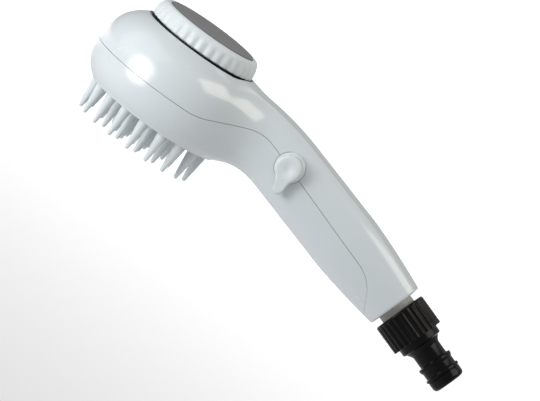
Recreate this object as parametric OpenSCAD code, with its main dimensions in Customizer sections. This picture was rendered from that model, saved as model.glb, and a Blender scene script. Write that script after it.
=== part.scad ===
// Hand-held pet bath sprayer: a bowl-shaped head with a soft bristle pad on its
// face and a shampoo tank under a ribbed twist cap, on a grip that carries the
// water from a hose adaptor past a lever-worked valve to the spray plate.
//
// Frame: origin on the head's axis at the face rim, +Z from the bristles to the
// cap, +X from the head to the hose end, the lever on the -Y side. Millimetres.

/* [Head] */
// Widest radius of the head bowl
head_r = 43.3; // [42:0.1:46]
// Height of the bowl's widest circle above the face rim
head_mid = 18.7; // [17:0.1:20]
// Height of the full bowl form above its widest circle
head_rise = 28; // [27.5:0.1:30]
// Depth of the full bowl form below its widest circle
head_drop = 25.8; // [25:0.1:28]
// Squareness of the bowl's side profile, 2 being an ellipse
head_square = 2.6; // [2.3:0.1:3]
// Height of the flat seat under the cap
seat_z = 41.4; // [40.5:0.1:42]

/* [Casing] */
// Wall of both casing shells
wall = 2.4; // [1.8:0.1:2.8]
// Visible gap along the parting line
seam_gap = 0.15; // [0.1:0.05:0.3]
// Height of the parting line round the head
seam_z = 17.6; // [16:0.1:19]
// Blend between the head and the grip
blend_r = 13; // [8:0.5:18]

/* [Grip] */
// Distance of the grip's end from the head's axis
reach = 151.1; // [140:0.5:165]
// Height of the centre of the grip's end face
end_z = -3.8; // [-8:0.1:0]
// Slope of the grip's centre line
grip_tilt = 15.6; // [14:0.1:17]
// Slope of the water way and the hose adaptor
hose_tilt = 17.9; // [16.5:0.1:19]
// Depth of the grip from front to back
grip_depth = 34.4; // [32:0.1:37]
// Width of the grip from side to side
grip_width = 31.6; // [29:0.1:34]
// Squareness of the grip's section
grip_square = 2.4; // [2:0.1:3]
// Length over which the grip narrows towards its end
taper_len = 40; // [25:1:50]
// Narrowing of the half depth at the end
taper_in = 3.4; // [2:0.1:4]

/* [Spray face] */
// Radius of the face opening
face_r = 34; // [32:0.1:34.2]
// Length of the bristles in the outer ring
bristle_len = 15.3; // [10:0.1:20]
// Radius of a bristle where it leaves the pad
bristle_r = 2.35; // [1.8:0.05:2.6]
// Radius of a bristle's rounded tip
bristle_tip_r = 0.85; // [0.6:0.05:1.2]
// Inward lean of the outer bristles in degrees
bristle_lean = 4; // [0:0.5:8]
// Radius of one water jet in the spray plate
jet_r = 0.8; // [0.5:0.1:1]

/* [Cap and soap button] */
// Outer radius of the ribbed cap ring
cap_r = 29.5; // [29:0.1:30.5]
// Height of the cap ring
cap_h = 10.2; // [9:0.1:12]
// Number of finger flutes round the cap
flutes = 36; // [24:1:40]
// Outer radius of the tank and of its neck
tank_r = 26.2; // [25.4:0.1:26.4]
// Wall of the tank
tank_wall = 1.8; // [1.4:0.1:2.2]
// Travel of the soap button
button_travel = 3.5; // [2:0.1:4]

/* [Valve and lever] */
// Distance of the valve's axis from the grip's end, along the water way
valve_back = 84.2; // [80:0.1:92]
// Radius of the valve barrel
barrel_r = 9; // [8.5:0.1:9.5]
// Radius of the valve spool
spool_r = 6.4; // [5.8:0.1:6.8]
// Radius of the lever's round head
lever_r = 6.6; // [6:0.1:7.2]
// Distance from the lever's axis to the end of its tail
lever_len = 14; // [12:0.5:18]
// Turn of the lever from fully open to where it rests
lever_part_closed = 25; // [0:1:45]

/* [Hose adaptor] */
// Length of the spigot's smooth end
spigot_len = 3.6; // [3:0.1:5]
// Outer radius of the ribbed nut
nut_r = 13.6; // [13:0.1:14.5]
// Length of the ribbed nut
nut_len = 15.5; // [14:0.5:20]
// Radius of the quick-connect spigot
spigot_r = 8.7; // [8.4:0.05:9]
// Bore of the water way through the adaptor
way_r = 5; // [4:0.1:5.2]
// Visible length of the inlet stub between grip and nut
stub_gap = 4.5; // [3:0.1:6]

/* [Hidden] */

$fn = 64;
eps = 0.01;
far = 400;              // longer than the whole sprayer, for cutting blocks
clear = 0.3;            // gap between pieces that move or drop past each other
fit = 0.05;             // gap of a running or push fit

// Colours of the mouldings
casing_colour = "#c3ced8";
soft_grey = "#8f9296";
rubber_black = "#1b1c1e";
inner_white = "#e6e8ea";

// Spray face stack, upwards from the rim
pad_inset = 0.9;                              // pad surface above the rim
ledge_z = 3.4;                                // ledge that the pad's lip rests on
ledge_r = face_r + 2.4;
lip_h = 1;
plate_h = 2.5;
plate_z = ledge_z + lip_h;
plate_r = ledge_r - clear;
chamber_z = plate_z + plate_h;
chamber_r = 29.4;
chamber_wall = 1.8;
foot_h = 1.2;                                 // stem's foot under the stopper
stopper_h = 1.7;
chamber_h = stopper_h + foot_h + button_travel + clear + fit;
tank_z = chamber_z + chamber_h;
tank_floor = 1.8;

// Bristle rings: radius of the ring, how many, angle of the first
bristle_flare = 0.4;
outer_ring = face_r - clear - bristle_r - bristle_flare;
bristle_rings = [
    [0, 1, 0], [outer_ring / 3, 6, 0], [outer_ring * 2 / 3, 12, 15], [outer_ring, 18, -90]
];
centre_rise = 1.6;                            // how far the dome of tips stands out
// Jet rings: radius of the ring, how many, angle of the first
jet_rings = [[outer_ring / 2, 6, 30], [outer_ring * 5 / 6, 12, 0]];

// Cap stack, upwards from the seat
gasket_h = 0.9;
cap_z = seat_z + gasket_h + 2 * fit;
cap_top = cap_z + cap_h;
neck_top = seat_z + 6;
neck_bore = tank_r - tank_wall;
button_r = neck_bore - 0.4;
button_top = cap_top - 1.7;
lug_h = 1.3;
lug_out = 1.3;
lug_arc = 40;
ring_lug_z = cap_z + 0.1;
neck_lug_z = ring_lug_z + lug_h + 0.2;
ring_bore = tank_r + lug_out + clear;
neck_gasket_h = 0.8;
skirt_h = 6.8;                                // depth of the button core's skirt
stem_r = 2;
port_r = 3.2;                                 // soap outlet in the tank's floor
stopper_r = 5.5;
guide_r = 5.5;
guide_h = 8.5;
soap_slot = 3.2;                              // width of the slots in the guide
tank_seal_r = stopper_r + 5;
tank_cord = chamber_wall - 0.8;
spring_r = 4;
spring_wire = 0.45;
spring_turns = 7;

// Water way: its own frame has +Z along the hose axis, 0 at the grip's end face
hose_r = 5.2;
hose_bore = 4;
valve_x = reach - valve_back * cos(hose_tilt);
valve_z = end_z + valve_back * sin(hose_tilt);
elbow_r = 5.2;
elbow_x = tank_r + elbow_r + 0.4;             // upright inlet of the water chamber
elbow_z = 15.4;
head_run = norm([valve_x - elbow_x, valve_z - elbow_z]);
head_slope = atan2(valve_z - elbow_z, valve_x - elbow_x);
head_hose_start = elbow_r + 1.5 + fit;
valve_spigot = barrel_r + 1.5;
head_hose_len = head_run - valve_spigot - head_hose_start - fit;
barb_len = 0.43 * head_hose_len;
lever_rest = 8.6;                             // tail's lean towards the hose, from -Z

// Valve stack, outwards from the casing's mid plane towards the lever
barrel_out = 11.5;
barrel_in = 9.5;
spool_in = 7.4;
gland_h = 3;
spool_out = barrel_out - gland_h - fit;
spindle_r = 3.4;
spot_y = grip_width / 2 - 1.4;                // floor of the bezel's spot face
bezel_r = lever_r + 0.95;
bezel_h = 2.8;
bezel_hub_r = 6;
lever_y = spot_y + bezel_h + clear;
lever_h = 4.2;

// Inlet
stub_r = 9.3;
thread_r = 10.35;
thread_len = 9.6;
flange_r = 11.1;
flange_h = 2;
flange_back = 12;
washer_h = 1.5;
end_hole_r = thread_r + clear;

// Casing screws, driven from the face into the rear shell
screw_ring_r = 32.8;
screw_angles = [60, 180, 300];
screw_r = 1.4;
screw_head_r = 2.6;
screw_head_h = 1.8;
screw_top = 27;
boss_r = 3.2;

// ---- Paths and placing -------------------------------------------------

function unit(v) = v / norm(v);

// Arc of radius r that rounds the corner b of the path a, b, c
function corner_arc(a, b, c, r, steps) =
    let (u = unit(a - b), v = unit(c - b), half = acos(u * v) / 2)
    let (mid = b + unit(u + v) * r / sin(half))
    let (p = b + u * r / tan(half) - mid, q = b + v * r / tan(half) - mid)
    [for (i = [0:steps]) mid + r * unit(p * (steps - i) + q * i)];

// A path of [x, y, corner radius] points, with its corners rounded
function rounded(pts, steps = 6) = [
    for (i = [0:len(pts) - 1])
        let (a = pts[max(i - 1, 0)], b = pts[i], c = pts[min(i + 1, len(pts) - 1)])
        each b[2] == 0 ? [[b[0], b[1]]]
            : corner_arc([a[0], a[1]], [b[0], b[1]], [c[0], c[1]], b[2], steps)
];

module ring(r_out, r_in, h) {
    difference() {
        cylinder(r = r_out, h = h);
        translate([0, 0, -eps]) cylinder(r = r_in, h = h + 2 * eps);
    }
}

module o_ring(r_mid, r_cord) {
    rotate_extrude() translate([r_mid, 0]) circle(r = r_cord, $fn = 24);
}

module around(places, r) {
    for (angle = places) rotate([0, 0, angle]) translate([r, 0, 0]) children();
}

// Children's +Z along the hose axis, 0 at the grip's end face
module on_hose_axis(s) {
    translate([reach, 0, end_z]) rotate([0, 90 + hose_tilt, 0]) translate([0, 0, s]) children();
}

// Children's +Z towards the lever, 0 in the casing's mid plane
module on_valve_axis(out = 0) {
    translate([valve_x, 0, valve_z]) rotate([90, 0, 0]) translate([0, 0, out]) children();
}

// Children's +Z from the chamber's elbow up to the valve
module on_head_run(s) {
    translate([elbow_x, 0, elbow_z]) rotate([0, 90 - head_slope, 0]) translate([0, 0, s]) children();
}

// ---- Casing form -------------------------------------------------------
// The casing is where two rounded fields meet and blend. Each is below zero
// inside its form, about 1 per millimetre, and inset makes it that much smaller.

shoulder_back = 84;      // where the grip's back starts to curve down to the head
shoulder_bend = 0.0032;
back_crown = 2.2;        // crown that the flat of the back cuts off
crease_r = 1.5;
back_blend = 4;
min_half = 3;

function soft_min(a, b, k) = min(a, b) - pow(max(k - abs(a - b), 0), 2) / (4 * k);

function squared_norm(a, b, n) = pow(pow(a, n) + pow(b, n), 1 / n);

function head_field(p, inset) =
    let (half = (p[2] > head_mid ? head_rise : head_drop) - inset)
    let (out = norm([p[0], p[1]]) / (head_r - inset), up = abs(p[2] - head_mid) / half)
    (squared_norm(out, up, head_square) - 1) * ((head_rise + head_drop) / 2 - inset);

// Narrowing of the grip's half depth at s, which is 0 at its end
function taper(s) = taper_in * pow(max(s + taper_len, 0) / taper_len, 1.5);

// Fall of the grip's back where it runs into the head
function shoulder(s) = shoulder_bend * pow(max(-shoulder_back - s, 0), 2);

// The grip starts at the head's axis, inside the head
function grip_field(p, inset) =
    let (dx = p[0] - reach, dz = p[2] - end_z)
    let (s = dx * cos(grip_tilt) - dz * sin(grip_tilt))
    let (v = dx * sin(grip_tilt) + dz * cos(grip_tilt))
    let (back = max(grip_depth / 2 - taper(s) - shoulder(s), min_half) - inset)
    let (depth = v > 0 ? back + back_crown : grip_depth / 2 - taper(s) - inset)
    let (half = grip_width / 2 - 0.7 * taper(s) - inset)
    max(-p[0], -soft_min((1 - squared_norm(abs(p[1]) / half, abs(v) / depth, grip_square)) * half,
                         back - v, crease_r));

function casing_field(p, inset) =
    let (lift = (p[2] - end_z) * cos(grip_tilt) + (p[0] - reach) * sin(grip_tilt))
    let (k = blend_r + (back_blend - blend_r) * ease(lift / (grip_depth / 2)))
    soft_min(head_field(p, inset), grip_field(p, inset), k);

// Distance from c along d to the casing's surface, by halving
function surface_at(c, d, inset, low = 0, high = 1.5 * head_r, steps = 15) =
    steps == 0 ? (low + high) / 2
        : casing_field(c + d * (low + high) / 2, inset) < 0
            ? surface_at(c, d, inset, (low + high) / 2, high, steps - 1)
            : surface_at(c, d, inset, low, (low + high) / 2, steps - 1);

function ease(t) = let (u = min(max(t, 0), 1)) u * u * (3 - 2 * u);

// Spine from the head's far side to the grip's end: height and slope of a section
neck_x = 50;
grip_line = end_z + (reach - neck_x) * tan(grip_tilt);
function spine_z(x) =
    x < neck_x ? head_mid + (grip_line - head_mid) * ease(x / neck_x)
        : end_z + (reach - x) * tan(grip_tilt);
function spine_tilt(x) =
    grip_tilt * ease(x / neck_x) + (hose_tilt - grip_tilt) * ease((x - neck_x) / (reach - neck_x));

// One section of the casing: the points where its rays meet the surface
function section(x, inset, sides) =
    let (tilt = spine_tilt(x), c = [x, 0, spine_z(x)])
    [for (j = [0:sides - 1])
        let (a = 360 * (j + 0.5) / sides)
        let (d = [sin(a) * sin(tilt), cos(a), sin(a) * cos(tilt)])
        c + d * surface_at(c, d, inset)];

// Places of the sections: closer together towards the head's far side
function stations(x_far, x_end, round_steps, long_steps) = concat(
    [for (i = [1:round_steps]) -x_far * cos(90 * i / round_steps)],
    [for (i = [1:long_steps]) x_end * i / long_steps]);

module casing_skin(inset, x_end, sides, round_steps, long_steps) {
    x_far = head_r - inset;
    places = stations(x_far, x_end, round_steps, long_steps);
    last = len(places) - 1;
    rings = [for (x = places) section(x, inset, sides)];
    pole = [[-x_far, 0, head_mid]];
    centre = [[x_end, 0, spine_z(x_end)]];
    points = concat([for (r = rings) each r], pole, centre);
    pole_i = len(rings) * sides;
    faces = concat(
        [for (i = [0:last - 1], j = [0:sides - 1])
            let (k = (j + 1) % sides)
            each [[i * sides + j, (i + 1) * sides + k, i * sides + k],
                  [i * sides + j, (i + 1) * sides + j, (i + 1) * sides + k]]],
        [for (j = [0:sides - 1]) [pole_i, j, (j + 1) % sides]],
        [for (j = [0:sides - 1])
            [pole_i + 1, last * sides + (j + 1) % sides, last * sides + j]]);
    polyhedron(points, faces);
}

module outer_form() {
    casing_skin(0, reach, 32, 10, 24);
}

module inner_form() {
    difference() {
        casing_skin(wall, reach - wall, 16, 6, 12);
        translate([0, 0, ledge_z - far / 4]) cylinder(r = head_r, h = far / 4, $fn = 32);
        translate([0, 0, seat_z - wall]) cylinder(r = cap_r + wall, h = far / 4, $fn = 32);
    }
}

// Parting line seen from the side: level round the head, up over the neck, along
// the water way past the lever, and down to the front before the grip's end
seam_turn_x = 20;
crest_x = 50.4;
seam_drop_x = reach - 20.9;
seam_drop_len = 45;
function hose_line_z(x) = end_z + (reach - x) * tan(hose_tilt);
seam_line = rounded([
    [-far / 2, seam_z, 0],
    [seam_turn_x, seam_z, 30],
    [crest_x, hose_line_z(crest_x), 14],
    [seam_drop_x, hose_line_z(seam_drop_x), 24],
    [seam_drop_x + seam_drop_len * cos(60), hose_line_z(seam_drop_x) - seam_drop_len * sin(60), 0]
], 5);

// Everything on the front side of the parting line, moved back by gap
module front_side(gap) {
    low = -far / 2;
    end = seam_line[len(seam_line) - 1];
    rotate([90, 0, 0])
        linear_extrude(far, center = true)
            translate([0, -gap])
                polygon(concat(seam_line, [[end[0], low], [-far / 2, low]]));
}

// ---- Casing ------------------------------------------------------------

saddle_t = 2;
saddle_ys = [-5, 3];

// Screw posts with a web out to the wall, saddles under the valve and the ribs
// that hold the inlet's flange, the inner one open to the front for the hose
module inner_ribs() {
    around(screw_angles, screw_ring_r) {
        translate([0, 0, chamber_z]) cylinder(r = boss_r, h = screw_top - chamber_z, $fn = 32);
        translate([0, -1, chamber_z]) cube([head_r - screw_ring_r, 2, screw_top - chamber_z]);
    }
    for (y = saddle_ys)
        on_valve_axis(y) translate([-4, -far / 8, 0]) cube([8, far / 4, saddle_t]);
    on_hose_axis(-flange_back + flange_h + fit) cylinder(r = grip_depth / 2, h = saddle_t);
    difference() {
        on_hose_axis(-flange_back - saddle_t - fit) cylinder(r = grip_depth / 2, h = saddle_t);
        on_hose_axis(-flange_back - 2 * saddle_t)
            translate([0, -hose_r - 2, 0]) cube([far / 8, 2 * hose_r + 4, 3 * saddle_t]);
    }
}

// Rooms that the fitted pieces take out of the ribs and the walls
module fitted_rooms() {
    on_hose_axis(-flange_back) cylinder(r = end_hole_r, h = far / 4);
    on_hose_axis(-flange_back - fit) cylinder(r = flange_r + fit, h = flange_h + 2 * fit);
    on_hose_axis(-flange_back - 2 * saddle_t) cylinder(r = hose_r + 2, h = 3 * saddle_t);
    on_valve_axis(-barrel_in - 1) cylinder(r = barrel_r + fit, h = barrel_in + barrel_out + 1 + fit);
    on_valve_axis(barrel_out - 1) cylinder(r = bezel_hub_r + fit, h = far / 8);
    on_valve_axis(spot_y) cylinder(r = bezel_r + clear, h = far / 8);
    around(screw_angles, screw_ring_r)
        translate([0, 0, chamber_z - 1])
            cylinder(r = screw_r + fit, h = screw_top - chamber_z, $fn = 24);
}

module casing() {
    difference() {
        outer_form();
        difference() {
            inner_form();
            inner_ribs();
        }
        fitted_rooms();
        translate([0, 0, -far / 8]) cylinder(r = head_r, h = far / 8);
    }
}

module front_shell() color(casing_colour) {
    difference() {
        intersection() {
            casing();
            front_side(seam_gap);
        }
        translate([0, 0, -eps]) cylinder(r = face_r, h = ledge_z + 1);
        translate([0, 0, ledge_z]) cylinder(r = ledge_r, h = plate_h + lip_h);
    }
}

module rear_shell() color(casing_colour) {
    difference() {
        casing();
        front_side(0);
        translate([0, 0, seat_z]) cylinder(r = cap_r + 0.5, h = far / 4);
        translate([0, 0, seat_z - 2 * wall]) cylinder(r = tank_r + clear, h = far / 4);
    }
}

// ---- Spray face --------------------------------------------------------

// One bristle, pointing down from the pad's surface, with a flared root
module bristle(len) {
    root = 0.6;
    flare = bristle_flare;
    outline = rounded([
        [0, root, 0],
        [bristle_r + flare, root, 0],
        [bristle_r + flare, 0, 0],
        [bristle_r, -3 * flare, 1],
        [bristle_tip_r, -len, bristle_tip_r * 0.7],
        [0, -len, 0]
    ], 4);
    rotate_extrude($fn = 32) polygon(outline);
}

module bristle_pad() color(casing_colour) {
    difference() {
        union() {
            translate([0, 0, pad_inset]) cylinder(r = face_r - clear, h = ledge_z - pad_inset + eps);
            translate([0, 0, ledge_z]) cylinder(r = plate_r, h = lip_h);
            for (row = bristle_rings)
                for (i = [0:row[1] - 1])
                    let (rise = centre_rise * (1 - pow(row[0] / outer_ring, 2)))
                    let (lean = bristle_lean * row[0] / outer_ring)
                    rotate([0, 0, row[2] + i * 360 / row[1]])
                        translate([row[0], 0, pad_inset])
                            rotate([0, lean, 0])
                                bristle(bristle_len + rise);
        }
        for (row = jet_rings)
            around([for (i = [0:row[1] - 1]) row[2] + i * 360 / row[1]], row[0])
                cylinder(r = jet_r + 0.5, h = plate_z + 1, $fn = 24);
    }
}

module spray_plate() color(inner_white) {
    difference() {
        translate([0, 0, plate_z]) cylinder(r = plate_r, h = plate_h);
        for (row = jet_rings)
            around([for (i = [0:row[1] - 1]) row[2] + i * 360 / row[1]], row[0])
                cylinder(r = jet_r, h = far / 8, $fn = 24);
        around(screw_angles, screw_ring_r) {
            cylinder(r = screw_r + fit, h = far / 8, $fn = 24);
            translate([0, 0, plate_z - eps])
                cylinder(r = screw_head_r + fit, h = screw_head_h + fit + eps, $fn = 24);
        }
        translate([0, 0, chamber_z]) o_ring(chamber_r - chamber_wall / 2, chamber_wall / 4);
    }
}

module chamber_seal() color(rubber_black) {
    translate([0, 0, chamber_z - fit])
        difference() {
            o_ring(chamber_r - chamber_wall / 2, chamber_wall / 4 - fit);
            cylinder(r = far / 8, h = far / 8);
        }
}

module water_chamber() color(inner_white) {
    difference() {
        union() {
            translate([0, 0, chamber_z]) cylinder(r = chamber_r, h = chamber_h);
            translate([elbow_x, 0, chamber_z]) cylinder(r = elbow_r, h = elbow_z + elbow_r - chamber_z);
            on_head_run(0) cylinder(r = elbow_r - 0.6, h = head_hose_start - fit);
            on_head_run(0) cylinder(r = hose_bore - fit, h = head_hose_start + barb_len);
        }
        translate([0, 0, chamber_z - eps])
            cylinder(r = chamber_r - chamber_wall, h = chamber_h - chamber_wall);
        translate([0, 0, chamber_z]) cylinder(r = stopper_r + 2, h = far / 8);
        translate([elbow_x, 0, chamber_z + chamber_wall])
            cylinder(r = hose_bore - 0.8, h = elbow_z - chamber_z);
        translate([chamber_r - 4, -2, chamber_z + chamber_wall]) cube([elbow_x - chamber_r + 4, 4, 3]);
        on_head_run(0) cylinder(r = hose_bore - 1.2, h = far / 8);
        translate([0, 0, tank_z]) o_ring(tank_seal_r, tank_cord);
    }
}

// ---- Shampoo tank and its button ---------------------------------------

module bayonet_lugs(r_in, r_out, z, turn) {
    for (i = [0:2])
        rotate([0, 0, turn + i * 120 - lug_arc / 2])
            translate([0, 0, z])
                rotate_extrude(angle = lug_arc)
                    translate([r_in, 0]) square([r_out - r_in, lug_h]);
}

module soap_tank() color(inner_white) {
    flange_z = seat_z - wall - 2;
    difference() {
        union() {
            translate([0, 0, tank_z]) cylinder(r = tank_r, h = neck_top - tank_z);
            translate([0, 0, flange_z]) cylinder(r = tank_r + 1.8, h = 2 - fit);
            bayonet_lugs(tank_r - eps, tank_r + lug_out, neck_lug_z, 0);
        }
        difference() {
            translate([0, 0, tank_z + tank_floor]) cylinder(r = neck_bore, h = neck_top);
            translate([0, 0, tank_z]) cylinder(r = guide_r, h = tank_floor + guide_h);
        }
        translate([0, 0, tank_z - 1]) cylinder(r = port_r, h = tank_floor + guide_h / 2 + 1);
        translate([0, 0, tank_z]) cylinder(r = stem_r + fit, h = far / 8);
        for (turn = [0, 90])
            rotate([0, 0, turn])
                translate([-guide_r - 1, -soap_slot / 2, tank_z + tank_floor])
                    cube([2 * guide_r + 2, soap_slot, guide_h / 2]);
    }
}

module tank_seal() color(rubber_black) {
    translate([0, 0, tank_z - fit])
        difference() {
            o_ring(tank_seal_r, tank_cord - fit);
            cylinder(r = far / 8, h = far / 8);
        }
}

module cap_gasket() color(rubber_black) {
    translate([0, 0, seat_z]) ring(cap_r - 0.6, tank_r + 2 * clear, gasket_h);
}

module neck_gasket() color(rubber_black) {
    translate([0, 0, neck_top]) ring(tank_r, neck_bore + 0.1, neck_gasket_h);
}

module cap_ring() color(casing_colour) {
    mouth_r = button_r + clear;
    ceiling = neck_top + neck_gasket_h + fit;
    top_round = 2.6;
    outline = rounded([
        [ring_bore, cap_z, 0],
        [cap_r - 0.2, cap_z, 0.5],
        [cap_r, cap_z + 0.45 * cap_h, cap_r / 2],
        [cap_r - top_round, cap_top, top_round],
        [mouth_r, cap_top - 0.6, 0.5],
        [mouth_r, ceiling, 0],
        [ring_bore, ceiling, 0]
    ]);
    difference() {
        rotate_extrude($fn = 96) polygon(outline);
        for (i = [0:flutes - 1])
            rotate([0, 0, i * 360 / flutes])
                translate([cap_r + 1.15, 0, cap_z - 1])
                    rotate([0, 7, 0])
                        cylinder(r = 1.9, h = cap_h, $fn = 24);
    }
    bayonet_lugs(tank_r + clear, ring_bore + eps, ring_lug_z, 0);
}

module thumb_pad() color(soft_grey) {
    pad_h = 1.3;
    dish = 0.9;
    dish_edge = button_r - 2;
    rise = [for (i = [0:12]) [dish_edge * i / 12, button_top + pad_h - dish * (1 - pow(i / 12, 2))]];
    rotate_extrude($fn = 96)
        polygon(concat([[0, button_top]], rise, rounded([
            [dish_edge, button_top + pad_h, 0],
            [button_r, button_top + pad_h, 0.4],
            [button_r, button_top, 0]
        ], 3)));
}

module button_core() color(inner_white) {
    roof = 2;
    skirt = 2.6;
    groove_z = button_top - skirt_h + 1.2;
    difference() {
        translate([0, 0, button_top - skirt_h]) cylinder(r = button_r, h = skirt_h);
        difference() {
            translate([0, 0, button_top - skirt_h - eps])
                cylinder(r = button_r - skirt, h = skirt_h - roof);
            translate([0, 0, button_top - skirt_h - 1]) cylinder(r = stem_r + 1.2, h = skirt_h);
        }
        translate([0, 0, groove_z]) ring(button_r + 1, button_r - 1.3, 2);
        translate([0, 0, button_top - skirt_h - eps]) cylinder(r = stem_r + fit, h = skirt_h - roof);
    }
}

module button_seal() color(rubber_black) {
    cord = (neck_bore - fit - (button_r - 1.3)) / 2 - fit / 2;
    translate([0, 0, button_top - skirt_h + 2.2]) o_ring(neck_bore - fit - cord, cord);
}

module plunger_stem() color(inner_white) {
    low = tank_z - stopper_h - foot_h;
    translate([0, 0, low]) cylinder(r = stem_r, h = button_top - 2 - fit - low);
    translate([0, 0, low]) cylinder(r = stem_r + 1.5, h = foot_h - 2 * fit);
}

module stopper() color(rubber_black) {
    translate([0, 0, tank_z - stopper_h - fit])
        difference() {
            cylinder(r1 = stopper_r - 1, r2 = stopper_r, h = stopper_h);
            translate([0, 0, -1]) cylinder(r = stem_r + 0.02, h = stopper_h + 2);
        }
}

// Coil of round wire, its ends resting on the guide and under the button's core
module return_spring() color("silver") {
    low = tank_z + tank_floor + guide_h + spring_wire + fit;
    high = button_top - 2 - spring_wire - fit;
    steps = 14;
    wire_sides = 6;
    count = spring_turns * steps;
    rings = [for (i = [0:count])
        let (a = 360 * i / steps, mid = [cos(a), sin(a), 0] * spring_r)
        let (z = low + (high - low) * i / count)
        [for (j = [0:wire_sides - 1])
            let (b = 360 * j / wire_sides)
            mid + [cos(a), sin(a), 0] * spring_wire * cos(b)
                + [0, 0, z + spring_wire * sin(b)]]];
    polyhedron(
        [for (r = rings) each r],
        concat(
            [for (i = [0:count - 1], j = [0:wire_sides - 1])
                let (k = (j + 1) % wire_sides, n = i * wire_sides)
                each [[n + j, n + k, n + wire_sides + k],
                      [n + j, n + wire_sides + k, n + wire_sides + j]]],
            [[for (j = [0:wire_sides - 1]) wire_sides - 1 - j]],
            [[for (j = [0:wire_sides - 1]) count * wire_sides + j]]));
}

// ---- Valve, lever and hoses --------------------------------------------

module head_hose() color(rubber_black) {
    on_head_run(head_hose_start) ring(hose_r, hose_bore, head_hose_len);
}

module supply_hose() color(rubber_black) {
    start = -valve_back + valve_spigot + fit;
    on_hose_axis(start) ring(hose_r, hose_bore, -flange_back - 3 - fit - start);
}

module valve_housing() color(inner_white) {
    difference() {
        union() {
            on_valve_axis(-barrel_in) cylinder(r = barrel_r, h = barrel_in + barrel_out);
            on_hose_axis(-valve_back) cylinder(r = hose_r, h = valve_spigot);
            on_hose_axis(-valve_back) cylinder(r = hose_bore - fit, h = valve_spigot + barb_len);
            on_head_run(head_run - valve_spigot) cylinder(r = hose_r, h = valve_spigot);
            on_head_run(head_run - valve_spigot - barb_len)
                cylinder(r = hose_bore - fit, h = valve_spigot + barb_len);
        }
        on_valve_axis(-spool_in - fit) cylinder(r = spool_r + fit, h = far / 8);
        on_hose_axis(-valve_back) cylinder(r = hose_bore - 1.2, h = far / 8);
        on_head_run(0) cylinder(r = hose_bore - 1.2, h = head_run);
    }
}

// The spool's two half bores meet the ports when the lever is fully open
module valve_spool() color(soft_grey) {
    difference() {
        union() {
            on_valve_axis(-spool_in) cylinder(r = spool_r, h = spool_in + spool_out);
            on_valve_axis(0) cylinder(r = spindle_r, h = lever_y + lever_h / 2);
        }
        on_valve_axis(-spool_in + 1.6) ring(spool_r + 1, spool_r - 1.1, 1.8);
        on_valve_axis(spool_out - 3.4) ring(spool_r + 1, spool_r - 1.1, 1.8);
        for (port = [-hose_tilt, 180 + head_slope])
            on_valve_axis(0)
                rotate([0, 0, port + lever_part_closed])
                    rotate([0, 90, 0]) cylinder(r = hose_bore - 1.4, h = far / 8);
    }
}

module spool_seals() color(rubber_black) {
    cord = 0.55;
    on_valve_axis(-spool_in + 2.5) o_ring(spool_r - cord, cord);
    on_valve_axis(spool_out - 2.5) o_ring(spool_r - cord, cord);
}

module valve_gland() color(inner_white) {
    on_valve_axis(barrel_out - gland_h) ring(spool_r, spindle_r + fit, gland_h);
}

module lever_bezel() color(casing_colour) {
    difference() {
        union() {
            on_valve_axis(barrel_out + fit) cylinder(r = bezel_hub_r, h = spot_y - barrel_out);
            on_valve_axis(spot_y + fit) cylinder(r = bezel_r, h = bezel_h - 0.8);
            on_valve_axis(spot_y + fit + bezel_h - 0.8) cylinder(r1 = bezel_r, r2 = bezel_r - 0.8, h = 0.8 - fit);
        }
        on_valve_axis(0) cylinder(r = spindle_r + clear, h = far / 8);
    }
}

// Teardrop lever: a dished round head with a tail that thins to its end
module side_lever() color(casing_colour) {
    tail_r = 2.7;
    neck_r = 3.6;
    dish_r = 16;
    on_valve_axis(lever_y)
        rotate([0, 0, lever_rest - 90])
            difference() {
                union() {
                    cylinder(r = lever_r, h = lever_h - 0.8);
                    translate([0, 0, lever_h - 0.8]) cylinder(r1 = lever_r, r2 = lever_r - 0.8, h = 0.8);
                    linear_extrude(lever_h - 1) hull() {
                        translate([3, 0]) circle(r = neck_r + 1.2, $fn = 48);
                        translate([lever_len - tail_r, 0]) circle(r = tail_r, $fn = 48);
                    }
                }
                translate([0, 0, lever_h + dish_r - 1.1]) sphere(r = dish_r);
                translate([0, 0, -eps]) cylinder(r = spindle_r + 0.02, h = lever_h / 2 + fit);
            }
}

// ---- Inlet and hose adaptor --------------------------------------------

module inlet_stub() color(soft_grey) {
    back = -flange_back - 3;
    difference() {
        union() {
            on_hose_axis(back) cylinder(r = hose_r + 1, h = 3);
            on_hose_axis(back - barb_len) cylinder(r = hose_bore - fit, h = barb_len + 1);
            on_hose_axis(-flange_back) cylinder(r = flange_r, h = flange_h);
            on_hose_axis(-flange_back) cylinder(r = stub_r, h = flange_back + stub_gap + 1);
            on_hose_axis(stub_gap + 1) cylinder(r = thread_r, h = thread_len);
        }
        on_hose_axis(back - barb_len - 1) cylinder(r = hose_bore - 1.2, h = barb_len + 4);
        on_hose_axis(back + 2) cylinder(r = way_r, h = far / 4);
    }
}

module inlet_washer() color(rubber_black) {
    on_hose_axis(stub_gap + 1 + thread_len + fit) ring(thread_r, way_r + 0.5, washer_h);
}

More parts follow.
